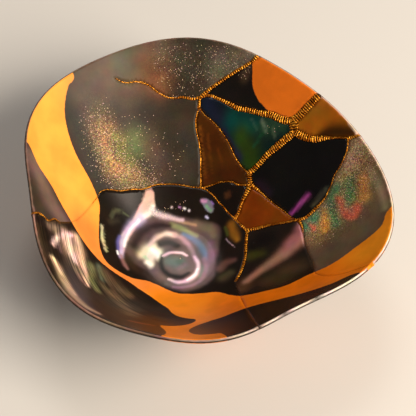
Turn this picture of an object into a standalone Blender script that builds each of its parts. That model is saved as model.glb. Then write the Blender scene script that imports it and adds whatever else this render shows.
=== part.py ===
"""A free-blown lustre glass bowl, broken and joined again with gold and with pieces of other glass.

The bowl is drawn on a flat unit disc whose edge is the rim. The cracks are lines on that disc. The disc
is parted along them, each part is given its thickness, and all points are carried onto the bowl's form.
Metres, +Z up, the origin at the middle of the ground foot.
"""
import math

import bmesh
import bpy
import numpy as np
from mathutils import Vector
from mathutils.geometry import delaunay_2d_cdt

# Form of the bowl
RIM_RADIUS = 0.0838
RIM_HEIGHT = 0.060
RIM_LIFT = 0.0025
RIM_LIFT_COUNT = 3
RIM_LIFT_TURN = 50.0
# The wavy rim: how many waves go round, how far each one pushes the rim out, and where it does
RIM_WAVES = (
    (1, 0.0146, 49.1),
    (2, 0.0031, -52.6),
    (3, 0.0047, -3.6),
    (4, 0.0012, -2.5),
    (5, 0.0019, -2.5),
    (6, 0.0005, -21.5),
    (7, 0.0007, -16.1),
)
FLOOR_SHARE = 0.20
ROUND_SHARE = 0.15
WALL_POWER = 1.5
WALL_THICKNESS = 0.0020
LIP_LAND = 0.0006
BASE_THICKNESS = 0.0060
FOOT_RADIUS = 0.026
FOOT_FLARE = 0.003
RIPPLE_HEIGHT = 0.0004
RIPPLE_PITCH = 0.009
RIPPLE_COUNT = 3

# Gold seams
JOINT_CLEARANCE = 0.0003
GOLD_CROWN = 0.00045
GOLD_EDGE = 0.0001
HAIR = 0.0005
FINE = 0.0007
THIN = 0.0010
MEDIUM = 0.0017
BROAD = 0.0027
HEAVY = 0.0038
FILL = 0.0052

# Fineness of the mesh
RIM_STEPS = 90
RING_STEP = 0.088
SEAM_STEP = 0.0038
FOOT_STEPS = 42
BLOB_SIDES = 10
SMALLEST_EDGE = 0.00035
FLATNESS = 0.00004
SAME_SPOT = 1e-5
FEWEST_IN_RING = 6
CLEAR_OF_SEAMS = 0.42
NEAR_RIM = 0.99
LIP_RING_DEPTHS = (0.12, 0.50)
LIP_SEAM_SHARE = 0.33
CROWN_HAIR_SHARE = 0.25
SHORT_EDGE_BULGE = 0.33

# Places on the unit disc where seams meet, each with the width of its gold
JUNCTIONS = {
    "top": (0.100, 0.783, MEDIUM),
    "fork": (0.096, 0.746, MEDIUM),
    "fill_upper": (0.621, 0.597, FILL),
    "fill_lower": (0.630, 0.545, HEAVY),
    "right": (0.874, 0.399, MEDIUM),
    "knot_upper": (0.393, 0.440, BROAD),
    "knot_lower": (0.403, 0.382, BROAD),
    "brown_foot": (0.113, 0.420, THIN),
    "small_foot": (0.319, 0.225, MEDIUM),
    "centre": (0.385, 0.135, BROAD),
    "wedge": (0.627, 0.099, MEDIUM),
}

# Seams on the unit disc: the widths of the gold along it, then the points that it passes through
SEAMS = {
    "slit": ((HAIR, THIN, THIN, MEDIUM), (
        (-0.348, 0.842), (-0.299, 0.831), (-0.230, 0.840), (-0.171, 0.830), (-0.118, 0.803),
        (-0.059, 0.785), (0.010, 0.786), (0.060, 0.779), "top")),
    "top_rim": ((MEDIUM, MEDIUM), (
        "top", (0.152, 0.811), (0.201, 0.832), (0.250, 0.851), (0.300, 0.868), (0.346, 0.881),
        (0.389, 0.895), (0.429, 0.923))),
    "over_blue": ((MEDIUM, MEDIUM, BROAD, BROAD, HEAVY, HEAVY), (
        "top", (0.149, 0.788), (0.209, 0.771), (0.280, 0.743), (0.306, 0.730), (0.380, 0.710),
        (0.450, 0.684), (0.505, 0.664), (0.542, 0.639), (0.571, 0.621), "fill_upper")),
    "fill": ((FILL, HEAVY), ("fill_upper", (0.626, 0.570), "fill_lower")),
    "orange_spot": ((HEAVY, HEAVY, BROAD), (
        "fill_upper", (0.664, 0.613), (0.699, 0.632), (0.745, 0.655), (0.785, 0.680))),
    "over_black": ((HEAVY, HEAVY, BROAD, THIN, THIN), (
        "fill_lower", (0.677, 0.503), (0.726, 0.470), (0.764, 0.456), (0.800, 0.440),
        (0.838, 0.421), "right")),
    "right_rim": ((MEDIUM, THIN), ("right", (0.911, 0.389), (0.960, 0.384))),
    "under_blue": ((HEAVY, HEAVY, BROAD, BROAD), (
        "fill_lower", (0.580, 0.530), (0.535, 0.512), (0.500, 0.500), (0.472, 0.483),
        (0.432, 0.457), "knot_upper")),
    "fork_stem": ((THIN, MEDIUM), ("top", "fork")),
    "beside_blue": ((FINE, FINE), (
        "fork", (0.130, 0.716), (0.170, 0.693), (0.210, 0.662), (0.238, 0.634), (0.266, 0.602),
        (0.290, 0.566), (0.310, 0.534), (0.350, 0.482), "knot_upper")),
    "beside_brown": ((FINE, FINE), (
        "fork", (0.082, 0.713), (0.079, 0.689), (0.085, 0.654), (0.097, 0.622), (0.105, 0.589),
        (0.111, 0.550), (0.112, 0.500), (0.114, 0.450), "brown_foot")),
    "knot": ((BROAD, BROAD), ("knot_upper", (0.397, 0.410), "knot_lower")),
    "over_small": ((FINE, FINE, THIN), (
        "brown_foot", (0.150, 0.422), (0.190, 0.427), (0.222, 0.434), (0.250, 0.432),
        (0.278, 0.428), (0.306, 0.418), (0.330, 0.402), (0.365, 0.390), "knot_lower")),
    "beside_small": ((BROAD, MEDIUM, MEDIUM), (
        "knot_lower", (0.379, 0.344), (0.359, 0.311), (0.348, 0.282), (0.337, 0.253),
        "small_foot")),
    "beside_black": ((BROAD, THIN, FINE, FINE, FINE), (
        "knot_lower", (0.422, 0.362), (0.447, 0.336), (0.471, 0.307), (0.497, 0.273),
        (0.523, 0.239), (0.549, 0.204), (0.574, 0.171), (0.594, 0.135), "wedge")),
    "centre_right": ((MEDIUM, THIN, THIN), (
        "centre", (0.411, 0.136), (0.441, 0.132), (0.501, 0.127), (0.551, 0.116),
        (0.591, 0.107), "wedge")),
    "centre_down": ((MEDIUM, MEDIUM, MEDIUM, THIN, HAIR, HAIR, HAIR, HAIR), (
        "centre", (0.378, 0.064), (0.374, 0.021), (0.371, -0.021), (0.361, -0.078),
        (0.346, -0.130), (0.331, -0.168), (0.323, -0.201), (0.327, -0.237), (0.342, -0.281),
        (0.349, -0.324), (0.373, -0.428), (0.405, -0.568), (0.435, -0.729), (0.452, -0.830),
        (0.470, -0.940))),
    "wedge_up": ((MEDIUM, MEDIUM, FINE, FINE, FINE, THIN), (
        "wedge", (0.661, 0.098), (0.691, 0.116), (0.723, 0.140), (0.750, 0.164),
        (0.765, 0.189), (0.782, 0.218), (0.797, 0.253), (0.825, 0.285), (0.846, 0.315),
        (0.864, 0.350), "right")),
    "wedge_down": ((MEDIUM, FINE, HAIR, HAIR, HAIR, HAIR, HAIR, HAIR), (
        "wedge", (0.640, 0.055), (0.642, 0.010), (0.644, -0.045), (0.652, -0.091),
        (0.664, -0.137), (0.680, -0.196), (0.700, -0.287), (0.724, -0.319), (0.755, -0.344),
        (0.804, -0.363), (0.865, -0.365), (0.985, -0.352))),
    "main": ((THIN, THIN, FINE, HAIR, HAIR, HAIR, FINE, FINE, FINE), (
        (-1.050, -0.190), (-1.000, -0.140), (-0.964, -0.102), (-0.936, -0.097),
        (-0.899, -0.103), (-0.865, -0.056), (-0.843, -0.039), (-0.819, -0.040),
        (-0.797, -0.022), (-0.736, 0.027), (-0.687, 0.067), (-0.606, 0.159),
        (-0.548, 0.229), (-0.496, 0.291), (-0.470, 0.329), (-0.423, 0.356), (-0.354, 0.367),
        (-0.283, 0.391), (-0.219, 0.404), (-0.150, 0.432), (-0.081, 0.440), (-0.017, 0.439),
        (0.053, 0.428), "brown_foot")),
    "main_right": ((FINE, FINE, THIN, THIN, MEDIUM), (
        "brown_foot", (0.149, 0.407), (0.175, 0.388), (0.200, 0.366), (0.221, 0.339),
        (0.251, 0.309), (0.277, 0.274), "small_foot", (0.355, 0.176), "centre")),
}
FREE_END = "slit"

# The pieces of glass: a point inside each on the unit disc, its colour and its roughness
GLASS = {
    "shard_base_and_floor": ((-0.10, -0.10), (0.055, 0.045, 0.035), 0.10),
    "shard_upper_left": ((-0.30, 0.60), (0.120, 0.105, 0.085), 0.25),
    "shard_upper_right": ((0.30, 0.80), (0.750, 0.240, 0.040), 0.15),
    "shard_lower_right": ((0.50, -0.10), (0.060, 0.045, 0.035), 0.12),
    "shard_right_rim": ((0.80, 0.00), (0.200, 0.190, 0.120), 0.25),
    "patch_amber_rim": ((0.78, 0.55), (0.300, 0.120, 0.015), 0.12),
    "patch_blue_green": ((0.38, 0.60), (0.020, 0.100, 0.080), 0.15),
    "patch_brown_tall": ((0.22, 0.52), (0.150, 0.055, 0.010), 0.15),
    "patch_black_large": ((0.65, 0.35), (0.012, 0.010, 0.012), 0.08),
    "patch_black_small": ((0.26, 0.37), (0.015, 0.013, 0.010), 0.08),
    "patch_amber_triangle": ((0.46, 0.22), (0.220, 0.070, 0.010), 0.12),
}
GOLD = ((0.780, 0.420, 0.100), 0.35)
MOST_SHARP_ANGLE = 40.0


def smooth(value):
    """A soft step from 0 to 1."""
    value = np.clip(value, 0.0, 1.0)
    return value * value * (3.0 - 2.0 * value)


def rim_radius(turn):
    """Distance of the rim from the foot's axis in the direction turn."""
    waves = [size * np.cos(count * (turn - math.radians(start))) for count, size, start in RIM_WAVES]
    return RIM_RADIUS + sum(waves)


def inner_surface(spots):
    """Points of the bowl's inside for rows of (a, b) on the unit disc."""
    share = np.hypot(spots[:, 0], spots[:, 1])
    turn = np.arctan2(spots[:, 1], spots[:, 0])
    waviness = smooth((share - ROUND_SHARE) / (1.0 - ROUND_SHARE))
    radius = share * (RIM_RADIUS + (rim_radius(turn) - RIM_RADIUS) * waviness)
    lift = RIM_LIFT * np.cos(RIM_LIFT_COUNT * (turn - math.radians(RIM_LIFT_TURN)))
    rise = np.clip((share - FLOOR_SHARE) / (1.0 - FLOOR_SHARE), 0.0, None) ** WALL_POWER
    height = BASE_THICKNESS + (RIM_HEIGHT + lift - BASE_THICKNESS) * rise
    fade = 1.0 - smooth(radius / RIPPLE_PITCH - RIPPLE_COUNT + 0.5)
    height = height + RIPPLE_HEIGHT * fade * np.cos(2.0 * math.pi * radius / RIPPLE_PITCH)
    return np.stack([radius * np.cos(turn), radius * np.sin(turn), height], axis=1)


def slopes(spots, step=1e-4):
    """How the inside moves along a and along b."""
    along_a = np.array([step, 0.0])
    along_b = np.array([0.0, step])
    by_a = (inner_surface(spots + along_a) - inner_surface(spots - along_a)) / (2.0 * step)
    by_b = (inner_surface(spots + along_b) - inner_surface(spots - along_b)) / (2.0 * step)
    return by_a, by_b


def inward(spots):
    """Unit vectors square to the inside, pointing into the bowl's hollow."""
    by_a, by_b = slopes(spots)
    cross = np.cross(by_a, by_b)
    return cross / np.linalg.norm(cross, axis=1, keepdims=True)


def wall_surfaces(spots, proud):
    """Inside and outside of the wall at the spots, both standing proud by the given heights."""
    inside = inner_surface(spots)
    facing = inward(spots)
    share = np.hypot(spots[:, 0], spots[:, 1])[:, None]
    to_rim = np.linalg.norm(inner_surface(spots / np.maximum(share, 1e-6)) - inside, axis=1)
    half = WALL_THICKNESS / 2.0
    rounding = 1.0 - np.minimum(to_rim, half) / half
    thickness = LIP_LAND + (WALL_THICKNESS - LIP_LAND) * np.sqrt(1.0 - rounding ** 2)
    middle = inside - facing * half
    inner = middle + facing * (thickness / 2.0 + proud)[:, None]
    outer = middle - facing * (thickness / 2.0 + proud)[:, None]
    radius = np.hypot(inside[:, 0], inside[:, 1])
    out_of_foot = smooth((radius - FOOT_RADIUS) / FOOT_FLARE)[:, None]
    foot = inside * np.array([1.0, 1.0, 0.0])
    outer = foot + (outer - foot) * out_of_foot
    return inner, outer


def on_disc(place):
    """The (a, b) of a seam point, which is a pair or a junction's name."""
    return JUNCTIONS[place][:2] if isinstance(place, str) else place


def curve_through(points, pieces=8):
    """A close row of spots on a smooth curve through the points."""
    points = np.array(points)
    if len(points) == 2:
        return np.linspace(points[0], points[1], pieces + 1)
    padded = np.vstack([2.0 * points[0] - points[1], points, 2.0 * points[-1] - points[-2]])
    row = [points[0]]
    for before, start, end, after in zip(padded, padded[1:], padded[2:], padded[3:]):
        for t in np.arange(1, pieces + 1) / pieces:
            bend = 2.0 * before - 5.0 * start + 4.0 * end - after
            twist = 3.0 * start - before - 3.0 * end + after
            row.append(0.5 * (2.0 * start + (end - before) * t + bend * t ** 2 + twist * t ** 3))
    return np.array(row)


def even_steps(row, step):
    """The same curve with its spots at even steps, measured on the bowl."""
    solid = inner_surface(row)
    gone = np.append(0.0, np.cumsum(np.linalg.norm(np.diff(solid, axis=0), axis=1)))
    count = max(2, round(gone[-1] / step) + 1)
    marks = np.linspace(0.0, gone[-1], count)
    return np.stack([np.interp(marks, gone, row[:, 0]), np.interp(marks, gone, row[:, 1])], axis=1)


def across(spots, heading):
    """Steps on the disc that lead one metre square to the heading, measured on the bowl."""
    by_a, by_b = slopes(spots)
    aa = np.sum(by_a * by_a, axis=1)
    ab = np.sum(by_a * by_b, axis=1)
    bb = np.sum(by_b * by_b, axis=1)
    side = np.stack([-heading[:, 1] * bb - heading[:, 0] * ab,
                     heading[:, 1] * ab + heading[:, 0] * aa], axis=1)
    size = np.sqrt(side[:, 0] ** 2 * aa + 2.0 * side[:, 0] * side[:, 1] * ab + side[:, 1] ** 2 * bb)
    return side / size[:, None]


def ribbon(row, widths, margin, free):
    """Outline of a seam along the row of spots, with a margin all round."""
    heading = np.gradient(row, axis=0)
    marks = np.linspace(0.0, 1.0, len(widths))
    half = np.interp(np.linspace(0.0, 1.0, len(row)), marks, widths) / 2.0 + margin
    side = across(row, heading) * half[:, None]
    row = row.copy()
    if free:
        forward = across(row[:1], np.stack([heading[:1, 1], -heading[:1, 0]], axis=1))
        row[:1] -= forward * margin
    return np.vstack([row - side, (row + side)[::-1]])


def blob(spot, width, margin):
    """Outline of a round fill of the given width at a spot."""
    turns = 2.0 * math.pi * np.arange(BLOB_SIDES) / BLOB_SIDES
    heading = np.stack([np.cos(turns), np.sin(turns)], axis=1)
    spots = np.tile(np.array(spot), (BLOB_SIDES, 1))
    by_a, by_b = slopes(spots)
    reach = np.linalg.norm(by_a * heading[:, :1] + by_b * heading[:, 1:], axis=1)
    return spots + heading * ((width / 2.0 + margin) / reach)[:, None]


def seam_rows():
    """Each seam's name and its evenly spaced spots."""
    rows = {}
    for name, (widths, places) in SEAMS.items():
        rows[name] = even_steps(curve_through([on_disc(place) for place in places]), SEAM_STEP)
    return rows


def rim_outline():
    """The rim as a many-sided outline on the disc."""
    turns = 2.0 * math.pi * np.arange(RIM_STEPS) / RIM_STEPS
    return np.stack([np.cos(turns), np.sin(turns)], axis=1)


def seam_outlines(rows, margin):
    """Outlines of all seams and junctions with a margin round them."""
    outlines = [ribbon(row, SEAMS[name][0], margin, name == FREE_END) for name, row in rows.items()]
    outlines += [blob(place[:2], place[2], margin) for place in JUNCTIONS.values()]
    return outlines


def triangulate(spots, edges, faces):
    """Blender's constrained triangulation of flat spots, with what each result came from."""
    vectors = [Vector((float(a), float(b))) for a, b in spots]
    return delaunay_2d_cdt(vectors, edges, faces, 0, SAME_SPOT, True)


def parting_lines(rows):
    """Spots and edges that part glass, clearance, gold and the outside on the disc."""
    gold = seam_outlines(rows, 0.0)
    cracks = seam_outlines(rows, JOINT_CLEARANCE)
    outlines = [rim_outline()] + gold + cracks
    starts = np.cumsum([0] + [len(outline) for outline in outlines])
    faces = [list(range(start, end)) for start, end in zip(starts, starts[1:])]
    spots, _, triangles, _, _, sources = triangulate(np.vstack(outlines), [], faces)
    sides = {}
    for triangle, source in zip(triangles, sources):
        in_gold = any(1 <= index <= len(gold) for index in source)
        kind = 0 if 0 not in source else 3 if in_gold else 2 if len(source) > 1 else 1
        for start, end in zip(triangle, triangle[1:] + triangle[:1]):
            sides.setdefault(frozenset((start, end)), []).append(kind)
    edges = [tuple(edge) for edge, kinds in sides.items() if len(set(kinds + [0] * (len(kinds) == 1))) > 1]
    return simplified(np.array([tuple(spot) for spot in spots]), edges)


def simplified(spots, edges):
    """The parting lines without needless spots and very short edges."""
    solid = inner_surface(spots)
    linked = {}
    for start, end in edges:
        linked.setdefault(start, set()).add(end)
        linked.setdefault(end, set()).add(start)
    changed = True
    while changed:
        changed = False
        for spot in sorted(linked):
            if len(linked[spot]) != 2:
                continue
            before, after = sorted(linked[spot])
            if after in linked[before]:
                continue
            chord = solid[after] - solid[before]
            reach = solid[spot] - solid[before]
            share = np.clip(reach @ chord / (chord @ chord), 0.0, 1.0)
            bulge = np.linalg.norm(reach - share * chord)
            shortest = min(np.linalg.norm(reach), np.linalg.norm(solid[after] - solid[spot]))
            limit = JOINT_CLEARANCE * SHORT_EDGE_BULGE if shortest < SMALLEST_EDGE else FLATNESS
            if bulge < limit:
                linked[before].remove(spot)
                linked[after].remove(spot)
                linked[before].add(after)
                linked[after].add(before)
                del linked[spot]
                changed = True
    kept = sorted(linked)
    number = {spot: index for index, spot in enumerate(kept)}
    pairs = {(number[min(spot, other)], number[max(spot, other)]) for spot in kept for other in linked[spot]}
    return spots[kept], sorted(pairs)


def distance_to_edges(spots, lines, edges):
    """Distance on the disc from each spot to the nearest parting line."""
    start = lines[[edge[0] for edge in edges]]
    chord = lines[[edge[1] for edge in edges]] - start
    reach = spots[:, None, :] - start[None, :, :]
    share = np.clip(np.sum(reach * chord, axis=2) / np.sum(chord * chord, axis=1), 0.0, 1.0)
    gap = reach - share[:, :, None] * chord
    return np.min(np.linalg.norm(gap, axis=2), axis=1)


def share_at(radius, turns):
    """Share of the way to the rim at which the inside is at a radius from the foot's axis."""
    share = radius / RIM_RADIUS
    for _ in range(8):
        waviness = smooth((share - ROUND_SHARE) / (1.0 - ROUND_SHARE))
        share = radius / (RIM_RADIUS + (rim_radius(turns) - RIM_RADIUS) * waviness)
    return share


def foot_rings():
    """Outlines on the disc of the foot's ground face and of the end of its flare."""
    turns = 2.0 * math.pi * np.arange(FOOT_STEPS) / FOOT_STEPS
    radii = (FOOT_RADIUS, FOOT_RADIUS + FOOT_FLARE)
    return [at_turns(share_at(radius, turns), turns) for radius in radii]


def ring_spots():
    """Spots in rings: on the ripples' crests and troughs within the foot, and up the wall."""
    ripples = [RIPPLE_PITCH * count / 2.0 for count in range(1, 2 * RIPPLE_COUNT + 1)]
    spots = [np.zeros((1, 2))]
    for index, radius in enumerate(ripples):
        if radius < FOOT_RADIUS - RIPPLE_PITCH / 4.0:
            turns = ring_turns(radius / RIM_RADIUS, RING_STEP, index)
            spots.append(at_turns(share_at(radius, turns), turns))
    start = (FOOT_RADIUS + FOOT_FLARE) / RIM_RADIUS
    wall_steps = round((1.0 - start) / RING_STEP)
    for index in range(1, wall_steps):
        share = start + (1.0 - start) * index / wall_steps
        spots.append(at_turns(share, ring_turns(share, RING_STEP, index)))
    return np.vstack(spots)


def ring_turns(share, step, index):
    """Directions of a ring's spots, with every other ring turned by half a step."""
    count = max(FEWEST_IN_RING, round(2.0 * math.pi * share / step))
    return 2.0 * math.pi * (np.arange(count) + 0.5 * (index % 2)) / count


def at_turns(share, turns):
    """Spots on the disc at a share of the way to the rim."""
    return np.stack([share * np.cos(turns), share * np.sin(turns)], axis=1)


def lip_spots():
    """Spots in two close rings that round the lip."""
    rim = rim_outline()
    near = inner_surface(rim * NEAR_RIM)
    slant = np.linalg.norm(inner_surface(rim) - near, axis=1) / (1.0 - NEAR_RIM)
    rings = [rim * (1.0 - share * WALL_THICKNESS / slant)[:, None] for share in LIP_RING_DEPTHS]
    return np.vstack(rings)


def inner_spots(rows, lines, edges):
    """All spots that lie between the parting lines: on the glass, the lip and the gold's crown."""
    rings = ring_spots()
    rings = rings[distance_to_edges(rings, lines, edges) > RING_STEP * CLEAR_OF_SEAMS]
    lip = lip_spots()
    seams_only = [edge for edge in edges if min(np.hypot(*lines[list(edge)].T)) < NEAR_RIM]
    lip = lip[distance_to_edges(lip, lines, seams_only) > SEAM_STEP / RIM_RADIUS * LIP_SEAM_SHARE]
    crown = np.vstack(list(rows.values()))
    crown = crown[np.hypot(crown[:, 0], crown[:, 1]) < 1.0 - WALL_THICKNESS / RIM_RADIUS]
    crown = crown[distance_to_edges(crown, lines, edges) > HAIR / RIM_RADIUS * CROWN_HAIR_SHARE]
    return np.vstack([rings, lip, crown])


def inside_triangle(spot, corners):
    """Whether a spot lies in a triangle on the disc."""
    signs = []
    for start, end in zip(corners, np.roll(corners, -1, axis=0)):
        side = end - start
        signs.append(side[0] * (spot[1] - start[1]) - side[1] * (spot[0] - start[0]) >= 0.0)
    return all(signs) or not any(signs)


def parted_disc():
    """The disc's spots, triangles and, for each triangle, its neighbours across open edges."""
    rows = seam_rows()
    lines, edges = parting_lines(rows)
    rings = foot_rings()
    ring_edges = []
    for index in range(len(rings)):
        numbers = len(lines) + index * FOOT_STEPS + np.arange(FOOT_STEPS)
        ring_edges += zip(numbers.tolist(), np.roll(numbers, -1).tolist())
    spots = np.vstack([lines, *rings, inner_spots(rows, lines, edges)])
    spots, borders, triangles, _, sources, _ = triangulate(spots, edges + ring_edges, [])
    parted = [min(source, default=len(edges)) < len(edges) for source in sources]
    closed = {frozenset(edge) for edge, splits in zip(borders, parted) if splits}
    beside = {}
    for index, triangle in enumerate(triangles):
        for start, end in zip(triangle, triangle[1:] + triangle[:1]):
            if frozenset((start, end)) not in closed:
                beside.setdefault(frozenset((start, end)), []).append(index)
    neighbours = [[] for _ in triangles]
    for pair in beside.values():
        if len(pair) == 2:
            neighbours[pair[0]].append(pair[1])
            neighbours[pair[1]].append(pair[0])
    return np.array([tuple(spot) for spot in spots]), triangles, neighbours


def region_at(seed, spots, triangles, neighbours):
    """The triangles of the part of the disc that holds the seed spot."""
    first = next(i for i, triangle in enumerate(triangles) if inside_triangle(seed, spots[triangle]))
    found = {first}
    waiting = [first]
    while waiting:
        for other in neighbours[waiting.pop()]:
            if other not in found:
                found.add(other)
                waiting.append(other)
    return [triangles[index] for index in sorted(found)]


def material(name, colour, roughness, metallic):
    """A Principled material."""
    made = bpy.data.materials.new(name)
    made.use_nodes = True
    shader = made.node_tree.nodes["Principled BSDF"]
    shader.inputs["Base Color"].default_value = (*colour, 1.0)
    shader.inputs["Roughness"].default_value = roughness
    shader.inputs["Metallic"].default_value = metallic
    made.diffuse_color = (*colour, 1.0)
    return made


def slumped_piece(name, spots, triangles, proud_of, made):
    """A flat part of the disc, given its thickness and carried onto the bowl's form."""
    used = sorted({corner for triangle in triangles for corner in triangle})
    number = {corner: index for index, corner in enumerate(used)}
    mesh = bmesh.new()
    flat = [mesh.verts.new((*spots[corner], 0.0)) for corner in used]
    for triangle in triangles:
        mesh.faces.new([flat[number[corner]] for corner in triangle])
    on_edge = np.array([vertex.is_boundary for vertex in flat])
    inner, outer = wall_surfaces(spots[used], proud_of(on_edge))
    raised = bmesh.ops.extrude_face_region(mesh, geom=mesh.faces[:], use_keep_orig=True)
    above = {tuple(vertex.co): vertex for vertex in raised["geom"] if isinstance(vertex, bmesh.types.BMVert)}
    tops = [above[tuple(vertex.co)] for vertex in flat]
    for index, (low, high) in enumerate(zip(flat, tops)):
        low.co = outer[index]
        high.co = inner[index]
    bmesh.ops.recalc_face_normals(mesh, faces=mesh.faces[:])
    if mesh.calc_volume(signed=True) < 0.0:
        bmesh.ops.reverse_faces(mesh, faces=mesh.faces[:])
    shape = bpy.data.meshes.new(name)
    mesh.to_mesh(shape)
    mesh.free()
    shape.shade_smooth()
    shape.set_sharp_from_angle(angle=math.radians(MOST_SHARP_ANGLE))
    shape.materials.append(made)
    return bpy.data.objects.new(name, shape)


def crowned(on_edge):
    """The gold stands proud of the glass, highest along its middle."""
    return np.where(on_edge, GOLD_EDGE, GOLD_CROWN)


def flush(on_edge):
    """Glass keeps the wall's own thickness."""
    return np.zeros(len(on_edge))


def build():
    for old in list(bpy.data.objects):
        bpy.data.objects.remove(old, do_unlink=True)
    bowl = bpy.data.collections.new("kintsugi_bowl")
    bpy.context.scene.collection.children.link(bowl)
    spots, triangles, neighbours = parted_disc()
    for name, (seed, colour, roughness) in GLASS.items():
        glass = region_at(seed, spots, triangles, neighbours)
        bowl.objects.link(slumped_piece(name, spots, glass, flush, material(name, colour, roughness, 0.0)))
    gold = region_at(JUNCTIONS["centre"][:2], spots, triangles, neighbours)
    bowl.objects.link(slumped_piece("gold_seams", spots, gold, crowned, material("gold_seams", *GOLD, 1.0)))


build()
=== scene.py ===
import math

import bmesh
import bpy
import numpy as np
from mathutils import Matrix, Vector


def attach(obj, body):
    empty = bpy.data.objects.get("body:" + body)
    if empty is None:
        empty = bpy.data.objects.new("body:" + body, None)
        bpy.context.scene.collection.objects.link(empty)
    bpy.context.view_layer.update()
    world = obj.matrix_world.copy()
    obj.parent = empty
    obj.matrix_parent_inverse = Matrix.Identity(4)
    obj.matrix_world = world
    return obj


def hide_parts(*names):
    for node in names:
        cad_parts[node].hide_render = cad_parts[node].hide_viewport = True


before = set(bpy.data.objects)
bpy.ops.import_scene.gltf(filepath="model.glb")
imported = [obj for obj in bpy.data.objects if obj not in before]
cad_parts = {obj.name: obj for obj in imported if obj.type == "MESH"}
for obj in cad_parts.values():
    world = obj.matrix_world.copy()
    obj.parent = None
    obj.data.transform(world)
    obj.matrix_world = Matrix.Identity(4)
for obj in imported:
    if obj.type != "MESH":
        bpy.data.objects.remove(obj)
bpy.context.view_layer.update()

# Form of the bowl, as in the part: the flat unit disc is carried onto it
RIM_RADIUS = 0.0838
RIM_HEIGHT = 0.06
RIM_LIFT = 0.0025
RIM_LIFT_COUNT = 3
RIM_LIFT_TURN = 50.0
RIM_WAVES = (
    (1, 0.0146, 49.1),
    (2, 0.0031, -52.6),
    (3, 0.0047, -3.6),
    (4, 0.0012, -2.5),
    (5, 0.0019, -2.5),
    (6, 0.0005, -21.5),
    (7, 0.0007, -16.1),
)
FLOOR_SHARE = 0.2
ROUND_SHARE = 0.15
WALL_POWER = 1.5
WALL_THICKNESS = 0.002
LIP_LAND = 0.0006
BASE_THICKNESS = 0.006
RIPPLE_HEIGHT = 0.0004
RIPPLE_PITCH = 0.009
RIPPLE_COUNT = 3
RIPPLE_SEEN = 0.0001

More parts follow.
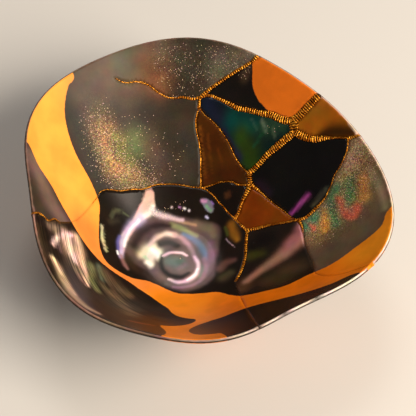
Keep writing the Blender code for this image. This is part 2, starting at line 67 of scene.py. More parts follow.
# Gold seams, as in the part
JOINT_CLEARANCE = 0.0003
HAIR = 0.0005
FINE = 0.0007
THIN = 0.001
MEDIUM = 0.0017
BROAD = 0.0027
HEAVY = 0.0038
FILL = 0.0052
JUNCTIONS = {
    "top": (0.1, 0.783, MEDIUM),
    "fork": (0.096, 0.746, MEDIUM),
    "fill_upper": (0.621, 0.597, FILL),
    "fill_lower": (0.63, 0.545, HEAVY),
    "right": (0.874, 0.399, MEDIUM),
    "knot_upper": (0.393, 0.44, BROAD),
    "knot_lower": (0.403, 0.382, BROAD),
    "brown_foot": (0.113, 0.42, THIN),
    "small_foot": (0.319, 0.225, MEDIUM),
    "centre": (0.385, 0.135, BROAD),
    "wedge": (0.627, 0.099, MEDIUM),
}
SEAMS = {
    "slit": ((HAIR, THIN, THIN, MEDIUM), (
        (-0.348, 0.842), (-0.299, 0.831), (-0.23, 0.84), (-0.171, 0.83), (-0.118, 0.803),
        (-0.059, 0.785), (0.01, 0.786), (0.06, 0.779), "top")),
    "top_rim": ((MEDIUM, MEDIUM), (
        "top", (0.152, 0.811), (0.201, 0.832), (0.25, 0.851), (0.3, 0.868), (0.346, 0.881),
        (0.389, 0.895), (0.429, 0.923))),
    "over_blue": ((MEDIUM, MEDIUM, BROAD, BROAD, HEAVY, HEAVY), (
        "top", (0.149, 0.788), (0.209, 0.771), (0.28, 0.743), (0.306, 0.73), (0.38, 0.71),
        (0.45, 0.684), (0.505, 0.664), (0.542, 0.639), (0.571, 0.621), "fill_upper")),
    "fill": ((FILL, HEAVY), ("fill_upper", (0.626, 0.57), "fill_lower")),
    "orange_spot": ((HEAVY, HEAVY, BROAD), (
        "fill_upper", (0.664, 0.613), (0.699, 0.632), (0.745, 0.655), (0.785, 0.68))),
    "over_black": ((HEAVY, HEAVY, BROAD, THIN, THIN), (
        "fill_lower", (0.677, 0.503), (0.726, 0.47), (0.764, 0.456), (0.8, 0.44),
        (0.838, 0.421), "right")),
    "right_rim": ((MEDIUM, THIN), ("right", (0.911, 0.389), (0.96, 0.384))),
    "under_blue": ((HEAVY, HEAVY, BROAD, BROAD), (
        "fill_lower", (0.58, 0.53), (0.535, 0.512), (0.5, 0.5), (0.472, 0.483),
        (0.432, 0.457), "knot_upper")),
    "fork_stem": ((THIN, MEDIUM), ("top", "fork")),
    "beside_blue": ((FINE, FINE), (
        "fork", (0.13, 0.716), (0.17, 0.693), (0.21, 0.662), (0.238, 0.634), (0.266, 0.602),
        (0.29, 0.566), (0.31, 0.534), (0.35, 0.482), "knot_upper")),
    "beside_brown": ((FINE, FINE), (
        "fork", (0.082, 0.713), (0.079, 0.689), (0.085, 0.654), (0.097, 0.622), (0.105, 0.589),
        (0.111, 0.55), (0.112, 0.5), (0.114, 0.45), "brown_foot")),
    "knot": ((BROAD, BROAD), ("knot_upper", (0.397, 0.41), "knot_lower")),
    "over_small": ((FINE, FINE, THIN), (
        "brown_foot", (0.15, 0.422), (0.19, 0.427), (0.222, 0.434), (0.25, 0.432),
        (0.278, 0.428), (0.306, 0.418), (0.33, 0.402), (0.365, 0.39), "knot_lower")),
    "beside_small": ((BROAD, MEDIUM, MEDIUM), (
        "knot_lower", (0.379, 0.344), (0.359, 0.311), (0.348, 0.282), (0.337, 0.253),
        "small_foot")),
    "beside_black": ((BROAD, THIN, FINE, FINE, FINE), (
        "knot_lower", (0.422, 0.362), (0.447, 0.336), (0.471, 0.307), (0.497, 0.273),
        (0.523, 0.239), (0.549, 0.204), (0.574, 0.171), (0.594, 0.135), "wedge")),
    "centre_right": ((MEDIUM, THIN, THIN), (
        "centre", (0.411, 0.136), (0.441, 0.132), (0.501, 0.127), (0.551, 0.116),
        (0.591, 0.107), "wedge")),
    "centre_down": ((MEDIUM, MEDIUM, MEDIUM, THIN, HAIR, HAIR, HAIR, HAIR), (
        "centre", (0.378, 0.064), (0.374, 0.021), (0.371, -0.021), (0.361, -0.078),
        (0.346, -0.13), (0.331, -0.168), (0.323, -0.201), (0.327, -0.237), (0.342, -0.281),
        (0.349, -0.324), (0.373, -0.428), (0.405, -0.568), (0.435, -0.729), (0.452, -0.83),
        (0.47, -0.94))),
    "wedge_up": ((MEDIUM, MEDIUM, FINE, FINE, FINE, THIN), (
        "wedge", (0.661, 0.098), (0.691, 0.116), (0.723, 0.14), (0.75, 0.164),
        (0.765, 0.189), (0.782, 0.218), (0.797, 0.253), (0.825, 0.285), (0.846, 0.315),
        (0.864, 0.35), "right")),
    "wedge_down": ((MEDIUM, FINE, HAIR, HAIR, HAIR, HAIR, HAIR, HAIR), (
        "wedge", (0.64, 0.055), (0.642, 0.01), (0.644, -0.045), (0.652, -0.091),
        (0.664, -0.137), (0.68, -0.196), (0.7, -0.287), (0.724, -0.319), (0.755, -0.344),
        (0.804, -0.363), (0.865, -0.365), (0.985, -0.352))),
    "main": ((THIN, THIN, FINE, HAIR, HAIR, HAIR, FINE, FINE, FINE), (
        (-1.05, -0.19), (-1.0, -0.14), (-0.964, -0.102), (-0.936, -0.097),
        (-0.899, -0.103), (-0.865, -0.056), (-0.843, -0.039), (-0.819, -0.04),
        (-0.797, -0.022), (-0.736, 0.027), (-0.687, 0.067), (-0.606, 0.159),
        (-0.548, 0.229), (-0.496, 0.291), (-0.47, 0.329), (-0.423, 0.356), (-0.354, 0.367),
        (-0.283, 0.391), (-0.219, 0.404), (-0.15, 0.432), (-0.081, 0.44), (-0.017, 0.439),
        (0.053, 0.428), "brown_foot")),
    "main_right": ((FINE, FINE, THIN, THIN, MEDIUM), (
        "brown_foot", (0.149, 0.407), (0.175, 0.388), (0.2, 0.366), (0.221, 0.339),
        (0.251, 0.309), (0.277, 0.274), "small_foot", (0.355, 0.176), "centre")),
}

# How closely the seams and the glass are drawn, in metres, and how far the glass closes in under the gold
SEAM_STEP = 0.0004
JUNCTION_AIM = (0.8, 0.6, 0.0)
CURVE_PIECES = 8
OUTLINE_PIECES = 6
SLOPE_STEP = 1e-4
LAY_ROUNDS = 12
REFINE_ROUNDS = 4
SHARP_ANGLE = 45.0
TINY = 1e-6
GLASS_EDGE = 0.0022
FLOOR_EDGE = 0.0009
FLOOR_REACH = 0.42
BAND_EDGE = 0.0012
WELD = 1e-6
CLOSE_IN = 0.00042
NEAR_CRACK = 0.0001
# Where the gold is worn off the glass all but meets, and what is left of the gold lies below its face
WORN_CLOSE = 0.95
WORN_SINK = 0.00006

# The gold: its grid, how it rises from its edge and how far its skirt is sunk in the glass
GOLD_CELL = 0.0003
GOLD_CROWN = 0.0005
GOLD_ROUND = 0.00045
GOLD_SKIRT = 0.0003
RIB_PITCH = 0.00125
RAGGED = 0.00022

# Outlines of colour and rows of strokes are in thousandths of the disc's radius
PAINT_SCALE = 1000.0
# Outlines of the orange glass: the band round the bowl and the patch at the upper right
ORANGE_BAND = (
    (-600, 880), (-568, 801), (-604, 747), (-630, 626), (-599, 490), (-519, 363), (-485, 266), (-496, 183),
    (-510, 76), (-506, -17), (-470, -95), (-406, -132), (-287, -163), (-205, -161), (-150, -179),
    (-82, -214), (-14, -245), (68, -252), (150, -255), (227, -264), (301, -316), (373, -351), (505, -355),
    (588, -342), (674, -286), (757, -252), (846, -183), (947, -112), (978, -44), (1050, -30),
    (1080, -300), (950, -440), (888, -415), (847, -428), (806, -461), (739, -491), (658, -513),
    (550, -518), (440, -517), (344, -529), (261, -558), (191, -582), (137, -617), (96, -664), (69, -727),
    (69, -790), (97, -844), (137, -858), (205, -854), (260, -874), (260, -1050), (-120, -1080),
    (-80, -971), (-67, -894), (-82, -813), (-110, -711), (-54, -687), (15, -653), (69, -609), (96, -571),
    (95, -536), (54, -523), (0, -498), (-41, -456), (-68, -400), (-123, -342), (-177, -288), (-246, -240),
    (-314, -198), (-406, -164), (-516, -122), (-608, -65), (-678, -4), (-726, 51), (-780, 122),
    (-826, 213), (-886, 294), (-920, 400), (-1050, 420), (-900, 800),
)
ORANGE_PATCH = (
    (370, 960), (388, 870), (392, 806), (422, 750), (466, 706), (530, 650), (700, 560), (950, 700),
    (600, 1100),
)


def smooth(value):
    """A soft step from 0 to 1."""
    value = np.clip(value, 0.0, 1.0)
    return value * value * (3.0 - 2.0 * value)


def rim_radius(turn):
    """Distance of the rim from the foot's axis in the direction turn."""
    waves = [size * np.cos(count * (turn - math.radians(start))) for count, size, start in RIM_WAVES]
    return RIM_RADIUS + sum(waves)


def inner_surface(spots, ripple=RIPPLE_HEIGHT):
    """Points of the bowl's inside for rows of (a, b) on the unit disc."""
    share = np.hypot(spots[:, 0], spots[:, 1])
    turn = np.arctan2(spots[:, 1], spots[:, 0])
    waviness = smooth((share - ROUND_SHARE) / (1.0 - ROUND_SHARE))
    radius = share * (RIM_RADIUS + (rim_radius(turn) - RIM_RADIUS) * waviness)
    lift = RIM_LIFT * np.cos(RIM_LIFT_COUNT * (turn - math.radians(RIM_LIFT_TURN)))
    rise = np.clip((share - FLOOR_SHARE) / (1.0 - FLOOR_SHARE), 0.0, None) ** WALL_POWER
    height = BASE_THICKNESS + (RIM_HEIGHT + lift - BASE_THICKNESS) * rise
    fade = 1.0 - smooth(radius / RIPPLE_PITCH - RIPPLE_COUNT + 0.5)
    height = height + ripple * fade * np.cos(2.0 * math.pi * radius / RIPPLE_PITCH)
    return np.stack([radius * np.cos(turn), radius * np.sin(turn), height], axis=1)


def slopes(spots, ripple=RIPPLE_HEIGHT):
    """How the inside moves along a and along b."""
    moves = []
    for along in ((SLOPE_STEP, 0.0), (0.0, SLOPE_STEP)):
        ahead, behind = inner_surface(spots + along, ripple), inner_surface(spots - along, ripple)
        moves.append((ahead - behind) / (2.0 * SLOPE_STEP))
    return moves


def inward(spots, ripple=RIPPLE_HEIGHT):
    """Unit vectors square to the inside, pointing into the bowl's hollow."""
    by_a, by_b = slopes(spots, ripple)
    cross = np.cross(by_a, by_b)
    return cross / np.linalg.norm(cross, axis=1, keepdims=True)


def half_thickness(spots):
    """Half the wall's thickness at the spots, rounded off at the lip."""
    half = WALL_THICKNESS / 2.0
    rounding = 1.0 - np.minimum(to_rim(spots), half) / half
    return (LIP_LAND + (WALL_THICKNESS - LIP_LAND) * np.sqrt(1.0 - rounding ** 2)) / 2.0


def in_wall(spots, side):
    """Points of the wall: side is -1 on the inside and 1 on the outside."""
    depth = WALL_THICKNESS / 2.0 + side * half_thickness(spots)
    return inner_surface(spots, RIPPLE_SEEN) - inward(spots, RIPPLE_SEEN) * depth[:, None]


def laid_flat(points):
    """The (a, b) on the disc and the side of the wall for points of the bowl."""
    turn = np.arctan2(points[:, 1], points[:, 0])
    share = np.hypot(points[:, 0], points[:, 1]) / rim_radius(turn)
    spots = np.stack([share * np.cos(turn), share * np.sin(turn)], axis=1)
    depth = np.zeros(len(points))
    for _ in range(LAY_ROUNDS):
        by_a, by_b = slopes(spots)
        facing = inward(spots)
        miss = inner_surface(spots) - facing * depth[:, None] - points
        move = np.linalg.solve(np.stack([by_a, by_b, -facing], axis=2), miss[:, :, None])[:, :, 0]
        spots = spots - move[:, :2]
        depth = depth - move[:, 2]
    return spots, (depth - WALL_THICKNESS / 2.0) / half_thickness(spots)


def curve_through(points, pieces=CURVE_PIECES):
    """A close row of spots on a smooth curve through the points."""
    points = np.array(points)
    if len(points) == 2:
        return np.linspace(points[0], points[1], pieces + 1)
    padded = np.vstack([2.0 * points[0] - points[1], points, 2.0 * points[-1] - points[-2]])
    row = [points[0]]
    for before, start, end, after in zip(padded, padded[1:], padded[2:], padded[3:]):
        for t in np.arange(1, pieces + 1) / pieces:
            bend = 2.0 * before - 5.0 * start + 4.0 * end - after
            twist = 3.0 * start - before - 3.0 * end + after
            row.append(0.5 * (2.0 * start + (end - before) * t + bend * t ** 2 + twist * t ** 3))
    return np.array(row)


def seam_samples():
    """Close spots along every seam: the half width of its gold, the way gone along it and its direction."""
    spots, halves, ways, aims = [], [], [], []
    for widths, places in SEAMS.values():
        row = curve_through([JUNCTIONS[p][:2] if isinstance(p, str) else p for p in places])
        solid = inner_surface(row)
        gone = np.append(0.0, np.cumsum(np.linalg.norm(np.diff(solid, axis=0), axis=1)))
        marks = np.linspace(0.0, gone[-1], max(2, round(gone[-1] / SEAM_STEP) + 1))
        spots.append(np.stack([np.interp(marks, gone, row[:, 0]), np.interp(marks, gone, row[:, 1])], axis=1))
        halves.append(np.interp(marks / gone[-1], np.linspace(0.0, 1.0, len(widths)), widths) / 2.0)
        ways.append(marks)
        line = np.stack([np.interp(marks, gone, solid[:, axis]) for axis in range(3)], axis=1)
        aim = np.gradient(line, axis=0)
        aims.append(aim / np.linalg.norm(aim, axis=1, keepdims=True))
    for a, b, width in JUNCTIONS.values():
        spots.append(np.array([[a, b]]))
        halves.append(np.array([width / 2.0]))
        ways.append(np.zeros(1))
        aims.append(np.array([JUNCTION_AIM]))
    return np.vstack(spots), np.concatenate(halves), np.concatenate(ways), np.vstack(aims)


SEAM_SPOTS, SEAM_HALVES, SEAM_WAYS, SEAM_AIMS = seam_samples()


def signed_distance(spots, outline):
    """Distance in metres from the spots to a closed outline on the disc, above zero inside it."""
    line = curve_through(np.array(outline + outline[:1]) / PAINT_SCALE, OUTLINE_PIECES)
    start, chord = line[:-1], np.diff(line, axis=0)
    nearest = np.full(len(spots), np.inf)
    turns = np.zeros(len(spots))
    for corner, side in zip(start, chord):
        reach = spots - corner
        share = np.clip(reach @ side / (side @ side), 0.0, 1.0)
        nearest = np.minimum(nearest, np.hypot(*(reach - share[:, None] * side).T))
        ahead = reach - side
        cross = reach[:, 0] * ahead[:, 1] - reach[:, 1] * ahead[:, 0]
        turns += np.arctan2(cross, np.sum(reach * ahead, axis=1))
    return np.where(np.abs(turns) > math.pi, nearest, -nearest) * RIM_RADIUS


def to_rim(spots):
    """Distance of the spots from the rim, in metres."""
    share = np.hypot(spots[:, 0], spots[:, 1])[:, None]
    return np.linalg.norm(inner_surface(spots / np.maximum(share, TINY)) - inner_surface(spots), axis=1)


def seen(red, green, blue):
    """A colour as read, from 0 to 255, as a linear one."""
    share = np.array([red, green, blue]) / 255.0
    return np.where(share < 0.04, share / 12.92, ((share + 0.055) / 1.055) ** 2.4)


def closed_in(spots):
    """The spots of broken edges moved towards the seam, so that the glass nearly meets under the gold."""
    solid = inner_surface(spots)
    seams = inner_surface(SEAM_SPOTS)
    away = np.linalg.norm(solid[:, None, :] - seams[None, :, :], axis=2)
    nearest = np.argmin(away - SEAM_HALVES, axis=1)
    rows = np.arange(len(spots))
    gap = away[rows, nearest] - SEAM_HALVES[nearest]
    on_crack = gap < JOINT_CLEARANCE + NEAR_CRACK
    share = CLOSE_IN / away[rows, nearest]
    share = np.where(on_crack, share + (WORN_CLOSE - share) * worn_share(spots), 0.0)
    return spots + (SEAM_SPOTS[nearest] - spots) * share[:, None]


def edge_limit(a, b, side, away):
    """The longest edge allowed at a place of the glass."""
    if side < 0.0 and math.hypot(a, b) < FLOOR_REACH:
        return FLOOR_EDGE
    return BAND_EDGE if abs(away) < GLASS_EDGE else GLASS_EDGE


def refined_glass(node, orange):
    """A finer mesh of a CAD piece of glass, with (a, b) and side of the wall for each of its points."""
    mesh = bmesh.new()
    mesh.from_mesh(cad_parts[node].data)
    bmesh.ops.remove_doubles(mesh, verts=mesh.verts, dist=WELD)
    points = np.array([vertex.co for vertex in mesh.verts])
    spots, side = laid_flat(points)
    spots = closed_in(spots)
    layers = [mesh.verts.layers.float.new(name) for name in ("a", "b", "side", "away")]
    away = signed_distance(spots, orange) if orange else np.full(len(spots), -1.0)
    for index, vertex in enumerate(mesh.verts):
        for layer, value in zip(layers, (*spots[index], side[index], away[index])):
            vertex[layer] = value
    for _ in range(REFINE_ROUNDS):
        long = []
        for edge in mesh.edges:
            at = [sum(vertex[layer] for vertex in edge.verts) / 2.0 for layer in layers]
            if edge.calc_length() > edge_limit(*at):
                long.append(edge)
        bmesh.ops.subdivide_edges(mesh, edges=long, cuts=1)
        bmesh.ops.triangulate(mesh, faces=[face for face in mesh.faces if len(face.verts) > 3])
    values = np.array([[vertex[layer] for layer in layers] for vertex in mesh.verts])
    return mesh, values[:, :2], values[:, 2]


def placed(name, data):
    """A new object in the scene, of a lamp, a camera or a bmesh."""
    if isinstance(data, bmesh.types.BMesh):
        mesh, data = data, bpy.data.meshes.new(name)
        mesh.to_mesh(data)
        mesh.free()
    thing = bpy.data.objects.new(name, data)
    bpy.context.scene.collection.objects.link(thing)
    return thing


def finished(name, mesh, replaced, material, attributes):
    """A piece of the scene from a bmesh, with its attributes, riding where the CAD node is."""
    piece = placed(name, mesh)
    shape = piece.data
    for key in ("a", "b", "side", "away"):
        if key in shape.attributes:
            shape.attributes.remove(shape.attributes[key])
    for key, values in attributes.items():
        kind, field = (("FLOAT", "value"), ("FLOAT_VECTOR", "vector"), ("FLOAT_COLOR", "color"))[
            0 if values.ndim == 1 else values.shape[1] - 2]
        layer = shape.attributes.new(key, kind, "POINT")
        layer.data.foreach_set(field, np.ascontiguousarray(values, dtype=np.float32).ravel())
    shape.shade_smooth()
    shape.set_sharp_from_angle(angle=math.radians(SHARP_ANGLE))
    shape.materials.append(material)
    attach(piece, "root")
    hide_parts(replaced)
    return piece


# The glass's colours, with the highlights, reflections and shade painted among them, are laid on in soft
# strokes along rows of points on the disc.
# Each has its points, its reach along the row, its colour as read, and its strength.
# A reach that is a single number fills the closed outline through the points, with an edge that soft.
STROKE_FALL = 2.4
WANDER = 0.0016
WANDER_BEND = 3.0
WANDER_FINE = 0.25
WANDER_WAVES_A = (57.0, 31.0, 139.0, 71.0)
WANDER_WAVES_B = (61.0, 27.0, 127.0, -83.0)


def wandered(spots):
    """The spots shifted a little this way and that, so that painted edges are not too even."""
    a, b = spots.T
    shifts = []
    for across, along, waves in ((b, a, WANDER_WAVES_A), (a, b, WANDER_WAVES_B)):
        broad = np.sin(waves[0] * across + WANDER_BEND * np.sin(waves[1] * along))
        shifts.append(broad + WANDER_FINE * np.sin(waves[2] * across + waves[3] * along))
    return spots + WANDER * np.stack(shifts, axis=1)


def stroke_share(spots, points, reach):
    """How strongly a soft stroke covers the spots: 1 along its middle, or inside its outline."""
    reach = np.array(reach) / PAINT_SCALE
    if reach.ndim == 0:
        return smooth(signed_distance(spots, points) / RIM_RADIUS / reach / 2.0 + 0.5)
    line = np.array(points if len(points) > 1 else points * 2) / PAINT_SCALE
    line = curve_through(line, OUTLINE_PIECES)
    marks = np.linspace(0.0, 1.0, len(line))
    widths = np.interp(marks, np.linspace(0.0, 1.0, len(reach)), reach)
    best = np.zeros(len(spots))
    for start, end, width in zip(line, line[1:], widths):
        side = end - start
        at = np.clip((spots - start) @ side / max(side @ side, TINY ** 2), 0.0, 1.0)
        away = np.hypot(*(spots - start - at[:, None] * side).T)
        best = np.maximum(best, np.exp(-(away / width) ** STROKE_FALL))
    return best


def opaque(colours):
    """The colours with a full fourth part."""
    return np.hstack([colours, np.ones((len(colours), 1))])


def painted(spots, base, strokes):
    """Colours of the spots: the base colour with soft strokes of colour over it."""
    spots = wandered(spots)
    colours = np.tile(seen(*base), (len(spots), 1))
    for points, reach, colour, strength in strokes:
        share = strength * stroke_share(spots, points, reach)
        colours += (seen(*colour) - colours) * share[:, None]
    return colours


# Floor and near wall: the lustre's own colours, with painted highlights and reflections of the swirl and
# painted shade beside its raised middle
FLOOR_COLOURS_AND_PAINTED_LIGHT = (
    (((-550, -450), (-250, -600), (100, -800)), (250, 200), (44, 34, 24), 0.9),
    (((-200, 260), (-90, 280), (20, 270), (140, 240), (230, 200), (230, 100), (210, -10), (200, -120),
        (140, -190), (30, -230), (-90, -190), (-200, -90), (-320, -30), (-360, 70), (-320, 180)),
        16, (92, 74, 72), 0.95),
    (((90, 230), (180, 190), (200, 150)), (29, 27, 20), (118, 106, 84), 0.8),
    (((-58, 233), (22, 200), (91, 153)), (16, 20, 16), (138, 142, 96), 0.8),
    (((17, 167), (85, 127), (136, 58), (150, -18)), (16, 23, 23, 14), (84, 104, 138), 0.85),
    (((180, 100), (190, 20), (160, -40)), (23, 25, 20), (112, 82, 104), 0.8),
    (((140, -70), (120, -120)), (27, 20), (84, 112, 100), 0.75),
    (((90, 226), (-47, 264)), (9,), (196, 160, 120), 0.6),
    (((-278, 78), (-243, 157), (-170, 215), (-69, 226)), (32, 29, 25, 16), (40, 30, 30), 0.92),
    (((-330, -10), (-280, -70), (-190, -120), (-110, -170)), (29, 32, 32, 23), (52, 36, 26), 0.85),
    (((-204, 399), (-216, 363), (-237, 325), (-261, 276), (-290, 228), (-328, 170), (-358, 122),
        (-374, 69), (-370, 16), (-351, -10), (-335, 55), (-312, 110), (-280, 164), (-246, 219),
        (-208, 256), (-170, 285), (-154, 316), (-158, 364), (-163, 404)), 6, (214, 168, 158), 0.95),
    (((-164, 324), (-181, 292), (-220, 260)), (11, 18, 14), (255, 232, 226), 0.9),
    (((-236, 251), (-299, 184), (-339, 116), (-357, 49), (-359, -24)), (27, 23, 20, 18, 14),
        (196, 180, 214), 0.95),
    (((-250, 233), (-300, 170), (-330, 100), (-342, 53)), (8, 10, 9, 7), (255, 246, 250), 0.95),
    (((-365, 108), (-379, 67), (-379, 22)), (11, 14, 9), (104, 96, 170), 0.8),
    (((-359, -18), (-341, -67), (-316, -102)), (14, 14, 9), (150, 104, 96), 0.75),
    (((-164, 294), (-108, 280), (-47, 269), (10, 260)), (20, 16, 14, 9), (220, 190, 198), 0.9),
    (((-230, 20), (-190, 60), (-150, 50), (-120, 10)), (29, 38, 34, 18), (250, 234, 206), 0.85),
    (((-219, 47), (-203, 80), (-169, 103), (-145, 94), (-132, 53), (-114, 16), (-122, -16), (-151, -5),
        (-161, -44), (-180, -67), (-201, -36), (-218, -5)), 20, (240, 228, 200), 0.85),
    (((-169, 57), (-143, 36), (-132, 12)), (16, 20, 14), (255, 253, 246), 0.97),
    (((-213, 8), (-196, -9)), (16, 14), (176, 214, 170), 0.8),
    (((-201, -30), (-176, -43)), (15, 17), (255, 250, 226), 0.95),
    (((-183, 89), (-147, 142), (-91, 169), (-35, 165)), (14, 18, 18, 16), (234, 200, 192), 0.9),
    (((-35, 165), (14, 135), (57, 79), (82, 15)), (16, 16, 16, 14), (160, 128, 140), 0.85),
    (((-120, 100), (-80, 110), (-20, 90)), (23, 29, 20), (28, 24, 18), 0.97),
    (((-70, -20), (0, -30)), (38,), (86, 104, 98), 0.92),
    (((-9, -72), (24, -44)), (18, 16), (112, 84, 96), 0.7),
    (((-107, 18), (-115, -36), (-94, -89), (-51, -120), (3, -128), (49, -101)), (14, 16, 18, 18, 16, 11),
        (16, 12, 10), 0.97),
    (((-102, 18), (-56, 39), (1, 39), (37, 18)), (8, 9, 8, 6), (240, 196, 212), 0.95),
    (((87, 7), (107, -49), (92, -110), (47, -150), (-10, -163), (-66, -145)), (11, 13, 14, 14, 11, 7),
        (226, 190, 206), 0.92),
    (((105, -74), (87, -115), (43, -150)), (7, 8, 6), (255, 244, 248), 0.9),
    (((141, -7), (150, -70), (119, -151), (48, -196), (-41, -199)), (16, 16, 16, 14, 9), (132, 98, 114),
        0.75),
    (((-470, 280), (-480, 210), (-440, 130)), (34, 34, 23), (24, 18, 12), 0.8),
    (((-55, 326),), (6,), (226, 206, 214), 0.9),
    (((19, 324), (26, 320)), (6,), (255, 248, 250), 0.97),
    (((50, 309),), (6,), (255, 244, 246), 0.95),
    (((-13, 333), (-1, 327)), (4,), (190, 140, 200), 0.9),
    (((152, 268), (160, 260)), (7, 6), (220, 216, 255), 0.95),
    (((176, 341), (188, 332)), (7, 6), (160, 120, 214), 0.9),
    (((-384, 6), (-379, -14)), (6,), (255, 250, 250), 0.95),
    (((117, 363), (153, 365), (192, 319), (184, 288), (143, 314)), 4, (124, 116, 140), 0.95),
    (((126, 356), (147, 352)), (9,), (206, 140, 190), 0.9),
    (((152, 325), (179, 301)), (9,), (116, 160, 128), 0.9),
    (((300, 197), (314, 144), (333, 98)), (23, 25, 14), (142, 94, 26), 0.9),
    (((267, 189), (278, 140)), (9,), (70, 80, 30), 0.8),
    (((269, 118), (319, 51)), (3, 2), (170, 146, 158), 0.85),
    (((236, -77), (268, -40), (314, -34)), (25, 23, 14), (98, 68, 62), 0.85),
    (((250, -150), (290, -120)), (32, 23), (74, 68, 48), 0.8),
    (((-485, 135), (-486, 50), (-463, -23)), (8, 10, 7), (212, 198, 150), 0.9),
    (((-416, 211), (-392, 250), (-358, 259), (-309, 247)), (9, 11, 9, 6), (92, 96, 68), 0.55),
    (((-421, 183), (-373, 205)), (18, 14), (52, 46, 34), 0.7),
    (((-980, -210), (-930, -350), (-880, -490)), (32, 36, 21), (62, 48, 34), 0.8),
    (((-880, -140), (-760, -80)), (32,), (118, 100, 80), 0.85),
    (((-780, -140), (-740, -200), (-690, -280), (-620, -390)), (64, 70, 60, 38), (150, 118, 100), 0.8),
    (((-853, -280), (-834, -200), (-780, -119), (-718, -63)), (15, 17, 17, 13), (232, 190, 184), 0.92),
    (((-819, -225), (-800, -293)), (17, 13), (96, 72, 70), 0.85),
    (((-760, -100), (-750, -170), (-720, -230), (-690, -280)), (28, 36, 32, 17), (255, 220, 206), 0.95),
    (((-684, -57), (-661, -144), (-641, -224), (-614, -304), (-589, -440)), (28, 36, 30, 24, 13),
        (232, 190, 160), 0.92),
    (((-841, -409), (-803, -454), (-769, -520), (-714, -603), (-665, -663)), (19, 26, 24, 19, 13),
        (236, 202, 162), 0.92),
    (((-755, -549), (-686, -662), (-598, -759), (-494, -810)), (32, 34, 26, 15), (172, 138, 112), 0.85),
    (((-570, -220), (-560, -330), (-520, -430)), (32, 34, 24), (118, 114, 72), 0.85),
    (((-510, -180), (-480, -280)), (24, 21), (86, 96, 76), 0.8),
    (((-710, -385), (-656, -449), (-588, -562)), (11, 11, 11), (44, 32, 24), 0.85),
    (((-290, -570), (-380, -420), (-480, -340)), (53, 43, 32), (96, 78, 54), 0.8),
    (((-304, -758), (-247, -747), (-156, -739)), (13, 15, 11), (150, 76, 44), 0.8),
    (((-855, -582), (-768, -713), (-659, -868), (-491, -1017)), (6, 7, 7, 6), (150, 112, 92), 0.75),
    (((-470, -210), (-410, -270), (-310, -330)), (40, 45, 30), (100, 80, 58), 0.75),
)
# Upper left piece: its own tones, with a painted highlight in the lighter strokes over its sparkling crackle
UPPER_LEFT_TONES_AND_HIGHLIGHT = (
    (((-400, 860), (-120, 940)), (120, 80), (100, 78, 62), 0.8),
    (((20, 920), (120, 900)), (70, 60), (60, 54, 42), 0.75),
    (((-500, 740),), (120,), (88, 70, 58), 0.8),
    (((-180, 870), (-100, 840)), (70, 60), (114, 72, 42), 0.7),
    (((-300, 900),), (70,), (76, 84, 66), 0.6),
    (((200, 880), (360, 920)), (70, 40), (112, 102, 88), 0.75),
    (((-570, 640), (-530, 480), (-440, 360)), (55, 40), (52, 46, 42), 0.85),
    (((-450, 600), (-400, 460)), (50,), (96, 82, 62), 0.8),
    (((-420, 620), (-370, 500), (-300, 440)), (65, 60), (152, 112, 76), 0.9),
    (((-330, 580), (-300, 500)), (50,), (120, 116, 60), 0.8),
    (((-370, 470), (-260, 450)), (50, 45), (168, 122, 80), 0.85),
    (((-240, 600),), (60,), (104, 118, 70), 0.7),
    (((-360, 400), (-160, 450)), (40,), (100, 78, 54), 0.8),
    (((-180, 620), (-140, 520)), (60,), (84, 64, 52), 0.7),
    (((40, 500), (50, 620)), (60,), (50, 44, 40), 0.7),
    (((-920, 310), (-900, 180), (-860, 60), (-790, -10)), (70,), (108, 84, 78), 0.9),
)
LOWER_RIGHT_STROKES = (
    (((360, 20), (500, 60)), (60, 40), (16, 12, 10), 0.9),
    (((400, -30), (450, -30)), (30, 25), (66, 64, 20), 0.85),
    (((360, -270), (380, -220)), (50, 40), (96, 64, 42), 0.8),
    (((380, -215), (470, -135), (550, -80), (630, -5)), (20, 40), (190, 136, 116), 0.92),
    (((590, -20), (630, 20), (635, 60)), (30, 22), (176, 112, 118), 0.9),
    (((520, -250), (600, -200)), (80, 60), (78, 62, 42), 0.8),
)
RIGHT_RIM_STROKES = (
    (((700, 20), (840, 140), (900, 300)), (90, 80), (150, 122, 84), 0.85),
    (((660, 50), (700, 80)), (35, 30), (72, 124, 98), 0.9),
    (((665, 61), (698, 29), (686, 3)), 8, (214, 88, 72), 0.95),
    (((730, -10), (750, 90)), (20,), (224, 146, 66), 0.85),
    (((775, 0), (765, 120), (800, 190)), (20, 24), (78, 122, 86), 0.9),
    (((790, 150), (840, 100), (880, 50), (850, -10), (810, 30)), 12, (212, 98, 76), 0.92),
    (((825, 75), (845, 30)), (10,), (176, 112, 96), 0.8),
    (((840, 80), (860, 200)), (26,), (84, 120, 84), 0.85),
    (((900, 80), (910, 180)), (24,), (206, 138, 76), 0.85),
    (((870, 260), (910, 340)), (30,), (166, 126, 104), 0.8),
    (((945, 200), (965, 100), (975, -20)), (16, 14), (158, 138, 106), 0.8),
)
BLACK_LARGE_STROKES = (
    (((700, 150), (757, 205)), (12,), (74, 72, 58), 0.85),
    (((600, 145), (640, 178), (680, 212)), (10, 12), (168, 74, 156), 0.9),
    (((450, 360), (500, 300)), (30, 20), (36, 22, 36), 0.8),
)
BLUE_GREEN_STROKES = (
    (((140, 760), (220, 690)), (50,), (20, 22, 40), 0.9),
    (((290, 680), (420, 640)), (50, 40), (4, 62, 56), 0.9),
    (((340, 610), (380, 540), (410, 480)), (50, 65, 40), (40, 64, 11), 0.9),
    (((480, 620), (570, 600)), (45, 35), (38, 66, 48), 0.85),
    (((455, 655), (470, 630), (480, 600)), (8, 10, 5), (100, 114, 98), 0.7),
    (((400, 670), (430, 620)), (6,), (52, 84, 70), 0.6),
    (((520, 600), (530, 560)), (8, 6), (84, 98, 78), 0.55),
    (((420, 560), (460, 600)), (10, 8), (24, 78, 46), 0.7),
    (((240, 640), (340, 520)), (22, 20), (26, 26, 52), 0.85),
)
